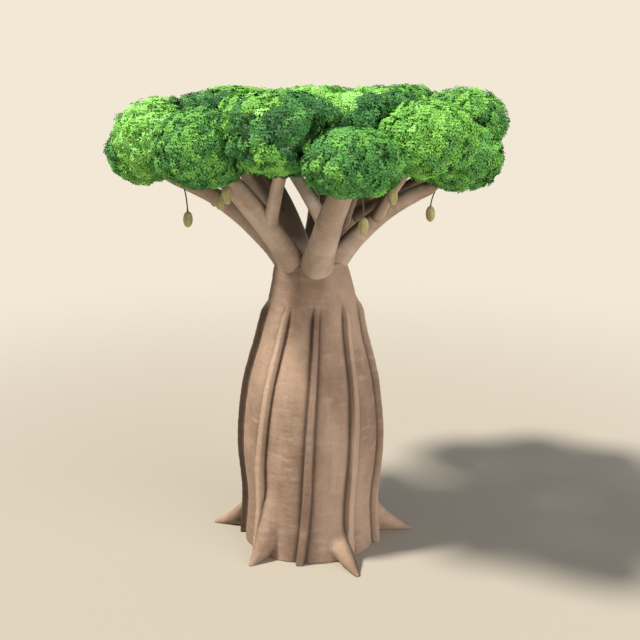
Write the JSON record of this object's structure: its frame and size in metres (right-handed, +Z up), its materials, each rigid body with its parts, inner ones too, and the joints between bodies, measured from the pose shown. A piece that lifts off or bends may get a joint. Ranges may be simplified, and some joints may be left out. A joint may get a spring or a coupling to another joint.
{
  "type": "baobab tree",
  "caption": "Bottle baobab tree with a swollen ribbed trunk on flared roots, a flat crown of dense leaf masses on stout boughs, and hanging pods.",
  "frame": {"origin": "centre of the flat cut at ground level under the trunk", "axes": "+Z up along the trunk, -Y towards the front side, +X to the right as seen from the front"},
  "size_m": [8.8368, 8.3631, 10.0072],
  "materials": {
    "bark_trunk": "smooth fawn-brown bark with shallow wrinkles, matt",
    "bark_bough": "smooth fawn-brown bark, slightly darker than the trunk, matt",
    "leaves_bright": "fresh yellow-green leaves, soft sheen",
    "leaves_mid": "mid-green leaves, soft sheen",
    "leaves_dark": "dark green leaves, soft sheen"
  },
  "bodies": {
    "root": {"trunk": "bark_trunk", "bough_front_right": "bark_bough", "bough_front_left": "bark_bough", "bough_left": "bark_bough", "bough_right": "bark_bough", "bough_back_right": "bark_bough", "bough_back": "bark_bough", "bough_back_left": "bark_bough", "limb_far_left": "bark_bough", "limb_front": "bark_bough", "limb_right_front": "bark_bough", "limb_right_top": "bark_bough", "limb_inner_left": "bark_bough", "limb_inner_right": "bark_bough", "limb_inner_far": "bark_bough", "limb_inner_back": "bark_bough", "limb_inner_front": "bark_bough", "foliage_left": "leaves_bright", "foliage_far_left": "leaves_mid", "foliage_front_left": "leaves_mid", "foliage_front": "leaves_dark", "foliage_front_right": "leaves_mid", "foliage_right_front": "leaves_bright", "foliage_right": "leaves_dark", "foliage_right_top": "leaves_bright", "foliage_back_right": "leaves_mid", "foliage_back": "leaves_bright", "foliage_back_left": "leaves_bright", "foliage_inner_left": "leaves_dark", "foliage_inner_front": "leaves_bright", "foliage_inner_right": "leaves_dark", "foliage_inner_far": "leaves_mid", "foliage_inner_back": "leaves_bright"}
  },
  "joints": []
}
